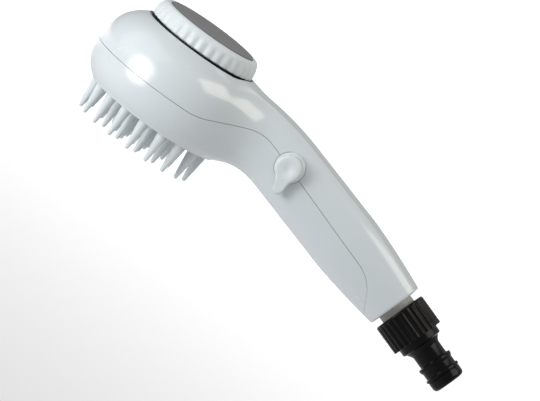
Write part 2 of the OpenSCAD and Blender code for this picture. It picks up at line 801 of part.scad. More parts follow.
// One-piece adaptor: a ribbed nut that screws on the stub, and a spigot with the
// catch groove and seal groove of a quick-connect hose coupling
module hose_adaptor() color(rubber_black) {
    start = stub_gap;
    nut_end = start + nut_len;
    collar_r = nut_r - 2.7;
    collar_end = nut_end + 3.3;
    throat_r = spigot_r - 1.1;
    land_r = spigot_r - 0.4;
    catch_r = spigot_r + 0.35;                // rib that the coupling's catch holds
    catch_z = nut_end + 13.7;
    seal_rib_r = spigot_r + 0.5;              // rib before the coupling's seal
    seal_rib_z = catch_z + 6.7;
    rib_h = 1.4;
    spigot_z = seal_rib_z + rib_h + 0.6;
    rib_count = 24;
    socket = start + 1 + thread_len + washer_h + 2 * fit;
    outline = rounded([
        [way_r, socket, 0],
        [thread_r + fit, socket, 0],
        [thread_r + fit, start, 0],
        [nut_r, start, 1],
        [nut_r, nut_end, 0.5],
        [collar_r, nut_end, 0],
        [collar_r, collar_end, 0.8],
        [throat_r + 1.9, collar_end + 0.4, 0],
        [throat_r, collar_end + 3, 3],
        [throat_r, catch_z - 0.4, 0],
        [catch_r, catch_z, 0.2],
        [catch_r, catch_z + rib_h, 0.2],
        [land_r, catch_z + 2 * rib_h, 0],
        [land_r, seal_rib_z - 0.3, 0],
        [seal_rib_r, seal_rib_z, 0.2],
        [seal_rib_r, seal_rib_z + rib_h, 0.2],
        [land_r, seal_rib_z + rib_h + 0.4, 0],
        [spigot_r, spigot_z, 0],
        [spigot_r, spigot_z + spigot_len, 1.2],
        [way_r, spigot_z + spigot_len, 0]
    ], 4);
    difference() {
        on_hose_axis(0) rotate_extrude() polygon(outline);
        for (i = [0:rib_count - 1])
            on_hose_axis(start + 1)
                rotate([0, 0, i * 360 / rib_count])
                    translate([nut_r + 0.35, 0, 0])
                        cylinder(r = 0.9, h = nut_len, $fn = 16);
    }
}

module casing_screws() color("silver") {
    length = screw_top - plate_z - 4;
    around(screw_angles, screw_ring_r)
        translate([0, 0, plate_z + fit])
            difference() {
                union() {
                    cylinder(r = screw_head_r, h = screw_head_h, $fn = 24);
                    cylinder(r = screw_r, h = length, $fn = 24);
                }
                for (turn = [0, 90])
                    rotate([0, 0, turn]) translate([-1.6, -0.35, -eps]) cube([3.2, 0.7, 1.1]);
            }
}

front_shell();
rear_shell();
bristle_pad();
spray_plate();
water_chamber();
chamber_seal();
soap_tank();
tank_seal();
cap_gasket();
neck_gasket();
cap_ring();
thumb_pad();
button_core();
button_seal();
plunger_stem();
return_spring();
stopper();
head_hose();
valve_housing();
valve_spool();
spool_seals();
valve_gland();
lever_bezel();
side_lever();
supply_hose();
inlet_stub();
inlet_washer();
hose_adaptor();
casing_screws();
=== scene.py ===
"""Handheld pet bath sprayer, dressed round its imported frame.

Shapes are worked out in millimetres in the frame's own axes: +Z from the bristles
to the cap, +X from the head to the hose end, the lever on the -Y side.
"""

from math import cos, pi, radians, sin, tan

import bmesh
import bpy
import numpy as np
from mathutils import Matrix, Vector


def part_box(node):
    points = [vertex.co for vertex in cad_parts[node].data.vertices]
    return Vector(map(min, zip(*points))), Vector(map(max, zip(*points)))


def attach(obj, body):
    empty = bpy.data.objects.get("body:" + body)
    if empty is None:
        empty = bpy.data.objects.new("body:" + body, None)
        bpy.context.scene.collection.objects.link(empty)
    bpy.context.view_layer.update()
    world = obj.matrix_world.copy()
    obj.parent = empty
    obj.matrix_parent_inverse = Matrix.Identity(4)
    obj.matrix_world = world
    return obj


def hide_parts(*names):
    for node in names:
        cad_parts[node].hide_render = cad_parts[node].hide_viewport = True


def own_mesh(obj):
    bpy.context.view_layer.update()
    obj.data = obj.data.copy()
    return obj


MM = 0.001              # metres in a millimetre

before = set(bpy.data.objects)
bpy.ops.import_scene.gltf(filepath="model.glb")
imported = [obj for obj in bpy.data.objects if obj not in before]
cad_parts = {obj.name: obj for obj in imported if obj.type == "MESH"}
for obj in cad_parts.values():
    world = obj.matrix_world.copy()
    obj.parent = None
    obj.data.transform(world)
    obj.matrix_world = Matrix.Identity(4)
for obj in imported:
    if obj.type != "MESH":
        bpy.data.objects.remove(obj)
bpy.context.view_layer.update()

# ---- Driving sizes, in millimetres and degrees --------------------------------

HEAD_R = 43.3           # widest radius of the bowl
HEAD_MID = 18.7         # height of that circle
HEAD_RISE = 28.0        # the bowl's form above it
HEAD_DROP = 25.8        # and below it
HEAD_SQUARE = 2.6       # squareness of the bowl's profile
WALL = 2.4              # wall of both casing shells
REACH = 151.1           # grip's end face, from the head's axis
END_Z = -3.8            # and the height of its middle
GRIP_TILT = 15.6        # slope of the grip's centre line
HOSE_TILT = 17.9        # slope of the water way and the hose adaptor
GRIP_DEPTH = 34.4       # grip from front to back
GRIP_WIDTH = 31.6       # and from side to side
GRIP_SQUARE = 2.4       # squareness of its section
TAPER_LEN = 40.0        # length over which it narrows to its end
TAPER_IN = 3.4          # what it loses there in half depth
TAPER_SIDE = 0.7        # share of that which it loses in half width
BLEND_R = 13.0          # blend of head and grip at the front
BACK_BLEND = 4.0        # and at the back
SHOULDER_BACK = 84.0    # where the grip's back starts to curve down to the head
SHOULDER_BEND = 0.0032  # how sharply it does
BACK_CROWN = 2.2        # crown that the flat of the back cuts off
CREASE_R = 1.0          # softening of the edges along the flat of the back
MIN_HALF = 3.0          # least half depth of the grip's form, inside the head
SEAM_Z = 17.6           # parting line's height round the head
SEAM_GAP = 0.22         # its open gap
RIM_ROUND = 0.8         # rounded lip of the face opening
RIM_BORE_Z = 3.0        # height of the opening's straight wall
INNER_RIM_Z = 3.4       # inside of the rim, which the pad's lip lies on
FACE_R = 34.8           # face opening
SEAT_R = 30.4           # step round the cap's seat
SEAT_Z = 41.4           # the step's height
SEAT_DEEP = 1.0         # the seat's floor under it
TANK_HOLE_R = 26.5      # hole for the tank's neck
END_ROUND = 1.3         # rounded edge of the grip's end
END_HOLE_R = 10.65      # hole for the inlet's stub
VALVE_BACK = 84.2       # valve's distance from the grip's end along the water way
VALVE_X = REACH - VALVE_BACK * cos(radians(HOSE_TILT))
VALVE_Z = END_Z + VALVE_BACK * sin(radians(HOSE_TILT))
SPOT_R = 7.85           # spot face under the lever's base
SPOT_Y = 14.4           # its distance from the middle plane
HUB_HOLE_R = 6.1        # hole for the valve's hub
HOSE_AXIS = np.array([cos(radians(HOSE_TILT)), 0, -sin(radians(HOSE_TILT))])

# ---- Small helpers ------------------------------------------------------------

WELD = 0.002            # points nearer than this are joined
FINE_WELD = 0.001       # the same on small features


def new_piece(name, bm, material, body, replaced, sharp=35):
    """Turns a bmesh in millimetres into a smooth-shaded object of the part."""
    bmesh.ops.scale(bm, vec=(MM, MM, MM), verts=bm.verts)
    for face in bm.faces:
        face.smooth = True
    for edge in bm.edges:
        edge.smooth = not (len(edge.link_faces) == 2 and edge.calc_face_angle(0) > radians(sharp))
    mesh = bpy.data.meshes.new(name)
    bm.to_mesh(mesh)
    bm.free()
    piece = bpy.data.objects.new(name, mesh)
    bpy.context.collection.objects.link(piece)
    mesh.materials.append(material)
    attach(piece, body)
    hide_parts(replaced)
    return piece


def sheet(bm, rows):
    """A grid of faces bent through rows of points, each row as long as the others."""
    rows = np.asarray(rows)
    count, length = rows.shape[:2]
    grid = bmesh.ops.create_grid(bm, x_segments=length - 1, y_segments=count - 1, size=1)
    for vert, place in zip(grid["verts"], rows.reshape(-1, 3)):
        vert.co = place


def both_sides(bm):
    """Adds the +Y half to a -Y half and welds the two into one closed skin."""
    geometry = bm.verts[:] + bm.edges[:] + bm.faces[:]
    half = bmesh.ops.duplicate(bm, geom=geometry)["geom"]
    copied = [item for item in half if isinstance(item, bmesh.types.BMVert)]
    bmesh.ops.scale(bm, vec=(1, -1, 1), verts=copied)
    bmesh.ops.remove_doubles(bm, verts=bm.verts, dist=WELD)
    bmesh.ops.dissolve_degenerate(bm, edges=bm.edges, dist=FINE_WELD)
    bmesh.ops.recalc_face_normals(bm, faces=bm.faces)


def revolve(outline, steps, closed=True):
    """Spins an outline of (radius, height) points once round +Z."""
    bm = bmesh.new()
    verts = [bm.verts.new((r, 0, z)) for r, z in outline]
    edges = [bm.edges.new(pair) for pair in zip(verts, verts[1:])]
    if closed:
        edges.append(bm.edges.new((verts[-1], verts[0])))
    bmesh.ops.spin(bm, geom=verts + edges, axis=(0, 0, 1), cent=(0, 0, 0), dvec=(0, 0, 0),
                   angle=2 * pi, steps=steps, use_merge=True)
    bmesh.ops.remove_doubles(bm, verts=bm.verts, dist=FINE_WELD)
    bmesh.ops.recalc_face_normals(bm, faces=bm.faces)
    return bm


def rounded(points, steps=5):
    """Outline through (a, b) points; a third number rounds that corner by a radius."""
    path = []
    for i, point in enumerate(points):
        here = Vector(point[:2])
        if len(point) == 2:
            path.append(tuple(here))
            continue
        before = (Vector(points[i - 1][:2]) - here).normalized()
        after = (Vector(points[(i + 1) % len(points)][:2]) - here).normalized()
        half = before.angle(after) / 2
        centre = here + (before + after).normalized() * point[2] / sin(half)
        reach = point[2] / tan(half)
        first, last = here + before * reach - centre, here + after * reach - centre
        for k in range(steps + 1):
            spoke = (first * (steps - k) + last * k).normalized() * point[2]
            path.append(tuple(centre + spoke))
    return path


def cut(piece, tool_bm):
    """Takes a tool's form out of a piece and keeps the result as plain mesh."""
    bmesh.ops.scale(tool_bm, vec=(MM, MM, MM), verts=tool_bm.verts)
    mesh = bpy.data.meshes.new("cutter")
    tool_bm.to_mesh(mesh)
    tool_bm.free()
    tool = bpy.data.objects.new("cutter", mesh)
    bpy.context.collection.objects.link(tool)
    modifier = piece.modifiers.new("cut", "BOOLEAN")
    modifier.object = tool
    modifier.operation = "DIFFERENCE"
    modifier.solver = "EXACT"
    depsgraph = bpy.context.evaluated_depsgraph_get()
    result = bpy.data.meshes.new_from_object(piece.evaluated_get(depsgraph))
    piece.modifiers.clear()
    piece.data = result
    bpy.data.objects.remove(tool)


def quarter(steps, first=0):
    """Angles of a quarter turn in equal steps."""
    return [pi / 2 * k / steps for k in range(first, steps + 1)]


def squeeze(bm, shrink):
    """Moves each point towards +Z's axis by what shrink gives for its turn, radius and height."""
    for vert in bm.verts:
        x, y, z = vert.co
        radius = (x * x + y * y) ** 0.5
        scale = 1 - shrink(np.arctan2(y, x), radius, z) / radius
        vert.co.x *= scale
        vert.co.y *= scale


def place_on_valve(bm):
    """Turns +Z to the lever's side and moves the origin onto the valve's axis."""
    turn = Matrix.Translation((VALVE_X, 0, VALVE_Z)) @ Matrix.Rotation(pi / 2, 4, "X")
    bmesh.ops.transform(bm, matrix=turn, verts=bm.verts)


# ---- Materials ----------------------------------------------------------------

GLOSS_PATCH = 22.0      # millimetres across a patch of slightly other gloss
COAT_ROUGH = 0.11       # polish that the tool leaves on a gloss moulding
WIRE_MARK = 0.3         # width of a drawing or plating mark
METAL_SWING = 0.08      # change of roughness from mark to mark


def srgb(code):
    """Linear colour, with alpha, of an sRGB hex code."""
    parts = [int(code[i:i + 2], 16) / 255 for i in (1, 3, 5)]
    linear = [c / 12.92 if c <= 0.04045 else ((c + 0.055) / 1.055) ** 2.4 for c in parts]
    return (*linear, 1)


def add_node(tree, kind, links=(), **settings):
    """Adds a node; settings are its properties or inputs, links are (input, socket)."""
    node = tree.nodes.new(kind)
    for key, value in settings.items():
        if hasattr(node, key):
            setattr(node, key, value)
        else:
            node.inputs[key.replace("_", " ")].default_value = value
    for key, socket in links:
        tree.links.new(socket, node.inputs[key])
    return node


def moulded(name, colour, rough, grain_mm, grain_depth, rough_swing=0.05, ior=1.5,
            subsurface=0.0, subsurface_mm=1.0, coat=0.0):
    """Moulded plastic or rubber: a fine surface grain over a slow change of gloss.

    The grain of a real tool is a few hundredths of a millimetre wide, too fine to show
    here, so it is drawn as wide as grain_mm says.
    """
    material = bpy.data.materials.new(name)
    material.use_nodes = True
    tree = material.node_tree
    tree.nodes.clear()
    place = add_node(tree, "ShaderNodeTexCoord").outputs["Object"]
    grain = add_node(tree, "ShaderNodeTexNoise", [("Vector", place)],
                     Scale=1 / (grain_mm * MM), Detail=2.0)
    slow = add_node(tree, "ShaderNodeTexNoise", [("Vector", place)],
                    Scale=1 / (GLOSS_PATCH * MM), Detail=1.0)
    gloss = add_node(tree, "ShaderNodeMapRange", [("Value", slow.outputs["Fac"])],
                     To_Min=rough - rough_swing, To_Max=rough + rough_swing)
    bump = add_node(tree, "ShaderNodeBump", [("Height", grain.outputs["Fac"])],
                    Strength=0.6, Distance=grain_depth * MM)
    base = add_node(tree, "ShaderNodeBsdfPrincipled",
                    [("Roughness", gloss.outputs["Result"]), ("Normal", bump.outputs["Normal"])],
                    Base_Color=srgb(colour), IOR=ior, Coat_Weight=coat)
    base.inputs["Coat Roughness"].default_value = COAT_ROUGH
    base.inputs["Subsurface Weight"].default_value = subsurface
    base.inputs["Subsurface Radius"].default_value = (1.0, 0.9, 0.8)
    base.inputs["Subsurface Scale"].default_value = subsurface_mm * MM
    add_node(tree, "ShaderNodeOutputMaterial", [("Surface", base.outputs["BSDF"])])
    return material


# Gloss ABS, injection moulded in a polished tool: clear reflections, faint waviness, and a
# coat for the polished skin
gloss_abs = moulded("gloss_abs_moulded", "#ccd4d8", 0.26, 3.0, 0.002, 0.03, coat=0.8)
# The same ABS with a fine spark-eroded texture, on the pieces that fingers turn: soft sheen
satin_abs = moulded("satin_abs_moulded", "#d2d9dc", 0.4, 1.0, 0.006, 0.03, coat=0.05)
# Silicone rubber, moulded: satin, a little light passes through the bristles
silicone = moulded("silicone_moulded", "#cfd6d9", 0.42, 0.5, 0.006, ior=1.41,
                   subsurface=0.12, subsurface_mm=1.2)
# Thermoplastic rubber, spark-eroded texture: matte mid grey
soft_grip = moulded("tpr_textured", "#747477", 0.5, 0.6, 0.02, ior=1.48)
# Natural white ABS for the hidden mouldings: plain satin white
white_abs = moulded("white_abs_moulded", "#e4e6e6", 0.4, 0.8, 0.005)
# Grey acetal of the stub and the spool, moulded: waxy satin
grey_acetal = moulded("grey_acetal_moulded", "#b9b7b4", 0.45, 0.7, 0.006, ior=1.48)
# Black polypropylene of the adaptor, moulded: deep black with small sharp glints
black_pp = moulded("black_pp_moulded", "#020202", 0.22, 0.5, 0.006, ior=1.27)
# Nitrile rubber of the seals and hoses, moulded: dull black
nitrile = moulded("nitrile_rubber", "#0c0d0e", 0.6, 0.4, 0.01, ior=1.4)


def bare_metal(name, colour, rough):
    """Drawn or plated steel: fine marks, drawn coarser than real ones so that they show."""
    material = bpy.data.materials.new(name)
    material.use_nodes = True
    tree = material.node_tree
    tree.nodes.clear()
    place = add_node(tree, "ShaderNodeTexCoord").outputs["Object"]
    marks = add_node(tree, "ShaderNodeTexNoise", [("Vector", place)],
                     Scale=1 / (WIRE_MARK * MM), Detail=2.0)
    gloss = add_node(tree, "ShaderNodeMapRange", [("Value", marks.outputs["Fac"])],
                     To_Min=rough - METAL_SWING, To_Max=rough + METAL_SWING)
    base = add_node(tree, "ShaderNodeBsdfPrincipled", [("Roughness", gloss.outputs["Result"])],
                    Base_Color=srgb(colour), Metallic=1.0)
    add_node(tree, "ShaderNodeOutputMaterial", [("Surface", base.outputs["BSDF"])])
    return material


# Stainless spring wire, drawn: bright, with fine marks
spring_wire = bare_metal("stainless_wire_drawn", "#b9b9b6", 0.25)
# Zinc-plated steel of the screws: a duller, slightly uneven grey shine
zinc_steel = bare_metal("zinc_plated_steel", "#b4b6b8", 0.35)

# ---- Casing form --------------------------------------------------------------
# Two rounded fields, below zero inside, meet and blend. Points are (3, n) arrays.

RAY_LEN = 70.0          # longer than any way from a plane's centre to the skin
HALVINGS = 24           # of a ray's length, to find the skin on it


def soft_min(a, b, k):
    return np.minimum(a, b) - np.maximum(k - np.abs(a - b), 0) ** 2 / (4 * k)


def squared_norm(a, b, n):
    return (a ** n + b ** n) ** (1 / n)


def ease(t):
    t = np.clip(t, 0, 1)
    return t * t * (3 - 2 * t)


def head_field(p, inset):
    half = np.where(p[2] > HEAD_MID, HEAD_RISE, HEAD_DROP) - inset
    out = np.hypot(p[0], p[1]) / (HEAD_R - inset)
    up = np.abs(p[2] - HEAD_MID) / half
    return (squared_norm(out, up, HEAD_SQUARE) - 1) * ((HEAD_RISE + HEAD_DROP) / 2 - inset)


def grip_place(p):
    """Distance along the grip, 0 at its end, and height over its centre line."""
    tilt = radians(GRIP_TILT)
    dx, dz = p[0] - REACH, p[2] - END_Z
    return dx * cos(tilt) - dz * sin(tilt), dx * sin(tilt) + dz * cos(tilt)


def grip_field(p, inset):
    along, lift = grip_place(p)
    taper = TAPER_IN * (np.maximum(along + TAPER_LEN, 0) / TAPER_LEN) ** 1.5
    fall = SHOULDER_BEND * np.maximum(-SHOULDER_BACK - along, 0) ** 2
    back = np.maximum(GRIP_DEPTH / 2 - taper - fall, MIN_HALF) - inset
    depth = np.where(lift > 0, back + BACK_CROWN, GRIP_DEPTH / 2 - taper - inset)
    half = GRIP_WIDTH / 2 - TAPER_SIDE * taper - inset
    side = (1 - squared_norm(np.abs(p[1]) / half, np.abs(lift) / depth, GRIP_SQUARE)) * half
    return np.maximum(-p[0], -soft_min(side, back - lift, CREASE_R))


def casing_field(p, inset):
    lift = grip_place(p)[1]
    k = BLEND_R + (BACK_BLEND - BLEND_R) * ease(lift / (GRIP_DEPTH / 2))
    return soft_min(head_field(p, inset), grip_field(p, inset), k)


def surface(start, ray, inset):
    """Where rays that start inside meet the casing, found by halving."""
    low, high = np.zeros(ray.shape[1]), np.full(ray.shape[1], RAY_LEN)
    for _ in range(HALVINGS):
        middle = (low + high) / 2
        inside = casing_field(start + ray * middle, inset) < 0
        low, high = np.where(inside, middle, low), np.where(inside, high, middle)
    return start + ray * low


# Parting line seen from the side: level round the head, over the neck, along the
# water way and down to the front before the grip's end. Each bend has a place and a radius.

FAR = 200
TURN_X, TURN_ROUND = 21.5, 30
CREST_X, CREST_ROUND = 50.8, 22
DROP_X, DROP_ROUND = REACH - 16.7, 20
DROP_RUN, DROP_FALL = 16.5, 39


def hose_line_z(x):
    return END_Z + (REACH - x) * tan(radians(HOSE_TILT))


seam_path = np.array(rounded([
    (-FAR, SEAM_Z),
    (TURN_X, SEAM_Z, TURN_ROUND),
    (CREST_X, hose_line_z(CREST_X), CREST_ROUND),
    (DROP_X, hose_line_z(DROP_X), DROP_ROUND),
    (DROP_X + DROP_RUN, hose_line_z(DROP_X) - DROP_FALL),
], 10))


def over_seam(p):
    return p[2] - np.interp(p[0], seam_path[:, 0], seam_path[:, 1])


class Stations:
    """Planes across the casing's -Y half, from the head's far side to the grip's end.

    They fan round the head's axis first and then follow the spine. A ray in a plane
    leaves its centre at an angle from -90 (front) to 90 degrees (back).
    """

    FAN = 44                # planes in the fan
    SEAT_STEPS = 22         # planes across the seat's near half
    RIM_STEPS = 9           # planes from the seat's edge to the rim's
    STEP = 1.7              # millimetres between planes along the grip
    FINE_LEN = 16.0         # length before the parting line's end, with closer planes
    FINE = 40               # and their count
    END_STEPS = 7           # planes from the parting line's end to the grip's
    RIM_SPAN = 30, 40       # the rim ends on +X between these
    SEAM_SPAN = 130, 149.5  # and the parting line between these
    NECK = 50.0             # where the spine has become the grip's centre line
    GRIP_LEAN = 36, 30      # the planes lean with the grip from here, over this length
    HOSE_LEAN = 66, 83      # and with the water way from here
    PLANE_HALVINGS = 30     # to place the plane at the rim's or the parting line's end
    ANGLE_HALVINGS = 22     # to find an edge's angle in a plane

    def __init__(self):
        turn = np.radians(np.linspace(180, 270, self.FAN + 1))[:-1]
        across = SEAT_R * np.sin(np.linspace(0, pi / 2, self.SEAT_STEPS + 1))
        self.rim_x = self.solve(lambda p: p[2] - RIM_ROUND, *self.RIM_SPAN)
        first = np.arccos(SEAT_R / self.rim_x)
        between = self.rim_x * np.cos(np.linspace(first, 0, self.RIM_STEPS + 1))[1:]
        self.seam_x = self.solve(over_seam, *self.SEAM_SPAN)
        end_x = REACH - END_ROUND * cos(radians(HOSE_TILT))
        steep = self.seam_x - self.FINE_LEN
        even = np.linspace(self.rim_x, steep, int((steep - self.rim_x) / self.STEP))
        fine = self.seam_x - self.FINE_LEN * np.linspace(1, 0, self.FINE)[1:] ** 2
        near = np.concatenate([even, fine])
        last = np.linspace(self.seam_x, end_x, self.END_STEPS)
        along = np.concatenate([across, between, near[1:], last[1:]])
        fan = len(turn)
        self.x = np.concatenate([np.zeros(fan), along])
        self.centre = np.array([self.x, 0 * self.x, self.spine(self.x)])
        self.out = np.array([np.concatenate([np.cos(turn), 0 * along]),
                             np.concatenate([np.sin(turn), 0 * along - 1]),
                             0 * self.x])
        self.up = self.upright(self.x)
        self.seat_end = fan + len(across)
        self.rim_end = self.seat_end + len(between)
        self.seam_end = self.rim_end + len(near) - 1

    def spine(self, x):
        line = END_Z + (REACH - x) * tan(radians(GRIP_TILT))
        start = END_Z + (REACH - self.NECK) * tan(radians(GRIP_TILT))
        return np.where(x < self.NECK, HEAD_MID + (start - HEAD_MID) * ease(x / self.NECK), line)

    def upright(self, x):
        """Direction of the planes' middle ray, towards the back."""
        grip_share, hose_share = (ease((x - first) / length)
                                  for first, length in (self.GRIP_LEAN, self.HOSE_LEAN))
        tilt = GRIP_TILT * grip_share + (HOSE_TILT - GRIP_TILT) * hose_share
        return np.array([np.sin(np.radians(tilt)), 0 * x, np.cos(np.radians(tilt))])

    def solve(self, test, low, high):
        """Place of the plane whose frontmost point is where the test turns positive."""
        for _ in range(self.PLANE_HALVINGS):
            x = np.array([(low + high) / 2])
            centre = np.array([x, 0 * x, self.spine(x)])
            value = test(surface(centre, -self.upright(x), 0))[0]
            if value < 0:
                low = x[0]
            else:
                high = x[0]
        return high

    def rays(self, angle, inset, stop):
        """Points on the casing at one angle per plane, and the rays that found them."""
        part = slice(0, stop)
        ray = self.out[:, part] * np.cos(angle) + self.up[:, part] * np.sin(angle)
        return surface(self.centre[:, part], ray, inset)

    def angle_where(self, test, low, high, inset, stop):
        """Angle in each of the first planes at which the test turns positive."""
        low, high = np.full(stop, low), np.full(stop, high)
        for _ in range(self.ANGLE_HALVINGS):
            middle = (low + high) / 2
            below = test(self.rays(middle, inset, stop)) < 0
            low, high = np.where(below, middle, low), np.where(below, high, middle)
        return (low + high) / 2

    def arc(self, first, last, count, inset):
        """Rows of points between two angles per plane."""
        steps = [self.rays(first + (last - first) * k / count, inset, len(first))
                 for k in range(count + 1)]
        return np.array(steps).transpose(0, 2, 1)


def ring_like(points, radius, z):
    """The same directions round the head's axis, at another radius and height."""
    flat = points[:, :2] / np.linalg.norm(points[:, :2], axis=1)[:, None] * radius
    return np.column_stack([flat, np.full(len(points), z)])


FRONT_ROWS = 24         # rows of faces across the front shell's half
REAR_ROWS = 64          # and across the rear shell's
INNER_CLEAR = 0.3       # inner wall starts this far inside the wall's lips
LIP_IN = 0.9            # how far the rim's lip turns in, as a share of its rounding
LIP_LEAN = 0.35         # and how much of that is at once
CHAMFER = 0.15          # broken edge of the face opening


def casing_angles(planes, inset, gap):
    """Angles at the front edge, the parting line and the back edge of each plane."""
    count = len(planes.x)
    front, back = np.full(count, -pi / 2), np.full(count, pi / 2)
    rim, seat, seam = planes.rim_end, planes.seat_end, planes.seam_end
    rim_z = RIM_ROUND if inset == 0 else INNER_RIM_Z
    front[:rim] = planes.angle_where(lambda p: p[2] - rim_z, -pi / 2, 0.0, inset, rim)
    seat_r = SEAT_R if inset == 0 else SEAT_R - INNER_CLEAR
    back[:seat] = planes.angle_where(lambda p: np.hypot(p[0], p[1]) - seat_r,
                                     pi / 2, 0.0, inset, seat)
    split = np.full(count, -pi / 2)
    split[:seam] = planes.angle_where(lambda p: over_seam(p) + gap, -pi / 2, pi / 2, inset, seam)
    return front, split, back


def front_casing(planes):
    bm = bmesh.new()
    seam = planes.seam_end
    skins = []
    for inset in (0, WALL):
        front, split, _ = casing_angles(planes, inset, SEAM_GAP)
        skins.append(planes.arc(front[:seam], split[:seam], FRONT_ROWS, inset))
        sheet(bm, skins[-1])
    outer, inner = skins
    sheet(bm, [outer[-1], inner[-1]])
    rim = planes.rim_end
    edge = outer[0][:rim]
    lip = [edge]
    rim_r = np.linalg.norm(edge[:, :2], axis=1)
    for turn in quarter(4, 1):
        inwards = rim_r - LIP_IN * RIM_ROUND * (1 - cos(turn)) - LIP_LEAN * RIM_ROUND * sin(turn)
        row = edge.copy()
        row[:, :2] *= (inwards / rim_r)[:, None]
        row[:, 2] = RIM_ROUND * (1 - sin(turn))
        lip.append(row)
    for radius, z in ((FACE_R + CHAMFER, 0.0), (FACE_R, CHAMFER), (FACE_R, RIM_BORE_Z)):
        lip.append(ring_like(edge, radius, z))
    lip.append(inner[0][:rim])
    sheet(bm, lip)
    both_sides(bm)
    return bm


def rear_casing(planes):
    bm = bmesh.new()
    skins = []
    for inset in (0, WALL):
        _, split, back = casing_angles(planes, inset, 0.0)
        skins.append(planes.arc(split, back, REAR_ROWS, inset))
        sheet(bm, skins[-1])
    outer, inner = skins
    seam, seat = planes.seam_end, planes.seat_end
    sheet(bm, [outer[0][:seam], inner[0][:seam]])
    edge = outer[-1][:seat]
    floor_z = SEAT_Z - SEAT_DEEP
    steps = [ring_like(edge, radius, z) for radius, z in (
        (SEAT_R - 0.1, floor_z), (TANK_HOLE_R, floor_z), (TANK_HOLE_R, SEAT_Z - WALL))]
    sheet(bm, [edge, *steps, inner[-1][:seat]])
    sheet(bm, end_rows(planes, outer[:, -1], inner[:, -1]))
    both_sides(bm)
    return bm


def end_rows(planes, outer_end, inner_end):
    """Rows from the last outer points round the edge, over the end face and into its hole."""
    middle = np.array([REACH, 0, END_Z])
    spokes = outer_end - middle
    spokes -= np.outer(spokes @ HOSE_AXIS, HOSE_AXIS)
    length = np.linalg.norm(spokes, axis=1)[:, None]
    spokes /= length
    rows = [outer_end]
    for turn in quarter(4, 1):
        away = length - END_ROUND * (1 - cos(turn))
        rows.append(middle + spokes * away - HOSE_AXIS * END_ROUND * (1 - sin(turn)))
    for away, depth in ((END_HOLE_R + 0.3, 0), (END_HOLE_R, 0.3), (END_HOLE_R, WALL)):
        rows.append(middle + spokes * away - HOSE_AXIS * depth)
    rows.append(inner_end)
    return rows


def spot_tool():
    """Round spot face and hub hole that the lever's base sits in."""
    start, end = 8, 30      # well inside the grip and well outside it
    bm = revolve([(0, start), (HUB_HOLE_R, start), (HUB_HOLE_R, SPOT_Y), (SPOT_R, SPOT_Y),
                  (SPOT_R, end), (0, end)], 96, closed=False)
    place_on_valve(bm)
    return bm


planes = Stations()
casing_front = new_piece("casing_front", front_casing(planes), gloss_abs, "casing",
                         "front_shell")
cut(casing_front, spot_tool())
casing_rear = new_piece("casing_rear", rear_casing(planes), gloss_abs, "casing",
                        "rear_shell")
cut(casing_rear, spot_tool())

# ---- Cap ring -----------------------------------------------------------------

cap_low, cap_high = (corner.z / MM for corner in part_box("cap_ring"))
CAP_R = 29.5
CAP_ROUND = 2.6         # rounding of its outer top edge
CAP_SWELL = 14          # rounding of its side, at 0.45 of its height
MOUTH_R = 24.3          # opening for the thumb pad
CAP_BORE = 27.8
CAP_ROOF = 6.2          # height of the bore
FLUTES = 36
FLUTE_DEEP = 0.8
CAP_LIFT = 0.5          # shadow gap over the gasket


def cap_form():
    rise = cap_high - cap_low
    foot = cap_low + CAP_LIFT

    def flute(turn, radius, z):
        """Depth of the flutes, which fade out towards the top."""
        if radius < CAP_BORE + 0.2:
            return 0
        scoop = (0.5 + 0.5 * cos(turn * FLUTES)) ** 1.2
        return FLUTE_DEEP * scoop * (1 - ease((z - cap_low - 0.4 * rise) / (0.45 * rise)))

    bm = revolve(rounded([
        (CAP_BORE, foot),
        (CAP_R - 0.15, foot, 0.35),
        (CAP_R, cap_low + 0.45 * rise, CAP_SWELL),
        (CAP_R - CAP_ROUND, cap_high, CAP_ROUND),
        (MOUTH_R, cap_high - 0.6, 0.35),
        (MOUTH_R, cap_low + CAP_ROOF),
        (CAP_BORE, cap_low + CAP_ROOF),
    ], 8), FLUTES * 8)
    squeeze(bm, flute)
    return bm


new_piece("cap_grip_ring", cap_form(), satin_abs, "cap", "cap_ring", sharp=50)

# ---- Side lever ---------------------------------------------------------------

LEVER_R = 6.6           # round head
LEVER_LEN = 14.0        # axis to the end of the tail
LEVER_REST = 8.6        # the tail's lean towards the hose, in degrees
TAIL_R = 2.7            # half the tail's width at its end
TAIL_ROOT = 4.2         # and at the head
TAIL_BLEND = 3.0        # blend of the two
LEVER_FAR = 30.0        # outside its outline at any angle
LEVER_ROUND = 1.5       # rounding of the top edge
DISH_DEEP = 0.8         # thumb's hollow in the head
TAIL_FALL = 1.0         # drop of the tail's top
# Share of the outline and height of each row from the foot up: the foot is undercut
LEVER_SIDE = ((0.86, 0), (0.86, 0.7), (0.99, 0.75), (1, 0.85))
lever_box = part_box("side_lever")
lever_top, lever_foot = (-corner.y / MM for corner in lever_box)


def lever_reach(angle):
    """Distance from the lever's axis to its outline: a round head with a soft-necked tail."""
    tail_x = LEVER_LEN - TAIL_R

    def outline(distance):
        x, y = distance * cos(angle), distance * sin(angle)
        along = min(max(x / tail_x, 0), 1)
        width = TAIL_ROOT + (TAIL_R - TAIL_ROOT) * along
        tail = ((x - along * tail_x) ** 2 + y * y) ** 0.5 - width
        return soft_min(distance - LEVER_R, tail, TAIL_BLEND)

    low, high = 0.0, LEVER_FAR
    for _ in range(HALVINGS):
        middle = (low + high) / 2
        low, high = (middle, high) if outline(middle) < 0 else (low, middle)
    return low


